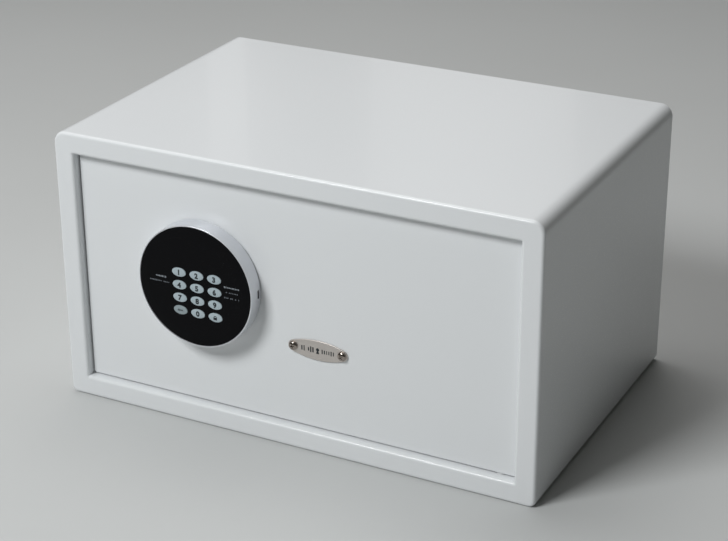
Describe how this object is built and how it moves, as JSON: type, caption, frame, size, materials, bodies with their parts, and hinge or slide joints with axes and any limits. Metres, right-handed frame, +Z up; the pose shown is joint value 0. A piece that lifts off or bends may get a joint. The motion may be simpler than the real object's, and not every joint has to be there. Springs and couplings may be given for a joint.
{
  "type": "in room safe",
  "caption": "White steel in-room safe: recessed hinged door, round electronic keypad, motor-driven sliding bolts and an oval plate over the emergency key cylinder.",
  "frame": {"origin": "centre of the base's underside, which rests on the shelf", "axes": "+X to the hinge side, +Y to the back (the door faces -Y), +Z up"},
  "size_m": [0.45, 0.3033, 0.25],
  "materials": {
    "white_lacquer": "glossy white stove lacquer with a faint orange peel",
    "satin_silver": "satin silver",
    "black_fascia": "polished black",
    "key_plastic": "pale blue-grey, satin, with a dark printed digit",
    "badge_steel": "brushed along its length",
    "bright_steel": "bright nickel plated",
    "zinc_steel": "zinc plated, slightly mottled",
    "bronze": "sintered bronze, matt",
    "white_nylon": "white nylon, dull",
    "brass": "turned brass",
    "circuit_board": "green solder mask",
    "black_plastic": "fine moulded texture",
    "carpet": "short charcoal pile",
    "cell_sleeve": "printed shrink sleeve, plain bands",
    "lead_sleeve": "grey insulation"
  },
  "bodies": {
    "cabinet": {"cabinet_wrap": "white_lacquer", "base_pan": "white_lacquer", "rear_panel": "white_lacquer", "front_frame": "white_lacquer", "door_stop": "white_lacquer", "strike_plate": "zinc_steel", "hinge_bush_upper": "white_nylon", "hinge_bush_lower": "white_nylon", "floor_mat": "carpet"},
    "door": {"door_plate": "white_lacquer", "hinge_lug_upper": "zinc_steel", "hinge_lug_lower": "zinc_steel", "lock_cover": "white_lacquer", "cover_screw_1": "bright_steel", "cover_screw_2": "bright_steel", "cover_screw_3": "bright_steel", "cover_screw_4": "bright_steel", "lock_chassis": "zinc_steel", "bolt_bush_upper": "bronze", "bolt_bush_lower": "bronze", "lock_motor": "bright_steel", "motor_gearbox": "black_plastic", "battery_tray": "black_plastic", "battery_cell_1": "cell_sleeve", "battery_cell_2": "cell_sleeve", "battery_cell_3": "cell_sleeve", "battery_cell_4": "cell_sleeve", "battery_lid": "black_plastic", "lid_screw": "bright_steel", "control_board": "circuit_board", "override_barrel": "brass", "badge_plate": "badge_steel", "badge_screw_left": "bright_steel", "badge_screw_right": "bright_steel", "keypad_ring": "satin_silver", "keypad_fascia": "black_fascia", "keypad_board": "circuit_board", "display_module": "black_fascia", "keypad_back": "black_plastic", "data_port": "black_plastic", "keypad_lead": "lead_sleeve"},
    "bolt_carriage": {"bolt_carrier": "zinc_steel", "bolt_upper": "bright_steel", "bolt_lower": "bright_steel", "override_bar": "zinc_steel"},
    "pinion": {"drive_pinion": "brass"},
    "key_cylinder_plug": {"override_plug": "brass", "override_cam": "zinc_steel"},
    "button_1": {"key_1": "key_plastic"},
    "button_2": {"key_2": "key_plastic"},
    "button_3": {"key_3": "key_plastic"},
    "button_4": {"key_4": "key_plastic"},
    "button_5": {"key_5": "key_plastic"},
    "button_6": {"key_6": "key_plastic"},
    "button_7": {"key_7": "key_plastic"},
    "button_8": {"key_8": "key_plastic"},
    "button_9": {"key_9": "key_plastic"},
    "button_clear": {"key_clear": "key_plastic"},
    "button_0": {"key_0": "key_plastic"},
    "button_enter": {"key_enter": "key_plastic"}
  },
  "joints": [
    {"name": "door_swing", "type": "hinge", "parent": "cabinet", "child": "door", "pos_m": [0.1908, -0.1347, 0.125], "axis": [0, 0, 1], "range_deg": [0, 105]},
    {"name": "bolt_slide", "type": "slide", "parent": "door", "child": "bolt_carriage", "axis": [-1, 0, 0], "range_m": [0, 0.02]},
    {"name": "pinion_spin", "type": "hinge", "parent": "door", "child": "pinion", "pos_m": [-0.1, -0.12, 0.1334], "axis": [0, 1, 0], "range_deg": [0, 136.5]},
    {"name": "override_turn", "type": "hinge", "parent": "door", "child": "key_cylinder_plug", "pos_m": [0.0245, -0.125, 0.094], "axis": [0, -1, 0], "range_deg": [0, 90]},
    {"name": "press_1", "type": "slide", "parent": "door", "child": "button_1", "axis": [0, 1, 0], "range_m": [0, 0.0008], "stiffness_N_per_m": 400},
    {"name": "press_2", "type": "slide", "parent": "door", "child": "button_2", "axis": [0, 1, 0], "range_m": [0, 0.0008], "stiffness_N_per_m": 400},
    {"name": "press_3", "type": "slide", "parent": "door", "child": "button_3", "axis": [0, 1, 0], "range_m": [0, 0.0008], "stiffness_N_per_m": 400},
    {"name": "press_4", "type": "slide", "parent": "door", "child": "button_4", "axis": [0, 1, 0], "range_m": [0, 0.0008], "stiffness_N_per_m": 400},
    {"name": "press_5", "type": "slide", "parent": "door", "child": "button_5", "axis": [0, 1, 0], "range_m": [0, 0.0008], "stiffness_N_per_m": 400},
    {"name": "press_6", "type": "slide", "parent": "door", "child": "button_6", "axis": [0, 1, 0], "range_m": [0, 0.0008], "stiffness_N_per_m": 400},
    {"name": "press_7", "type": "slide", "parent": "door", "child": "button_7", "axis": [0, 1, 0], "range_m": [0, 0.0008], "stiffness_N_per_m": 400},
    {"name": "press_8", "type": "slide", "parent": "door", "child": "button_8", "axis": [0, 1, 0], "range_m": [0, 0.0008], "stiffness_N_per_m": 400},
    {"name": "press_9", "type": "slide", "parent": "door", "child": "button_9", "axis": [0, 1, 0], "range_m": [0, 0.0008], "stiffness_N_per_m": 400},
    {"name": "press_clear", "type": "slide", "parent": "door", "child": "button_clear", "axis": [0, 1, 0], "range_m": [0, 0.0008], "stiffness_N_per_m": 400},
    {"name": "press_0", "type": "slide", "parent": "door", "child": "button_0", "axis": [0, 1, 0], "range_m": [0, 0.0008], "stiffness_N_per_m": 400},
    {"name": "press_enter", "type": "slide", "parent": "door", "child": "button_enter", "axis": [0, 1, 0], "range_m": [0, 0.0008], "stiffness_N_per_m": 400}
  ],
  "couplings": [
    {"joint": "pinion_spin", "follows": "bolt_slide", "rad_per_m": 119.05}
  ]
}
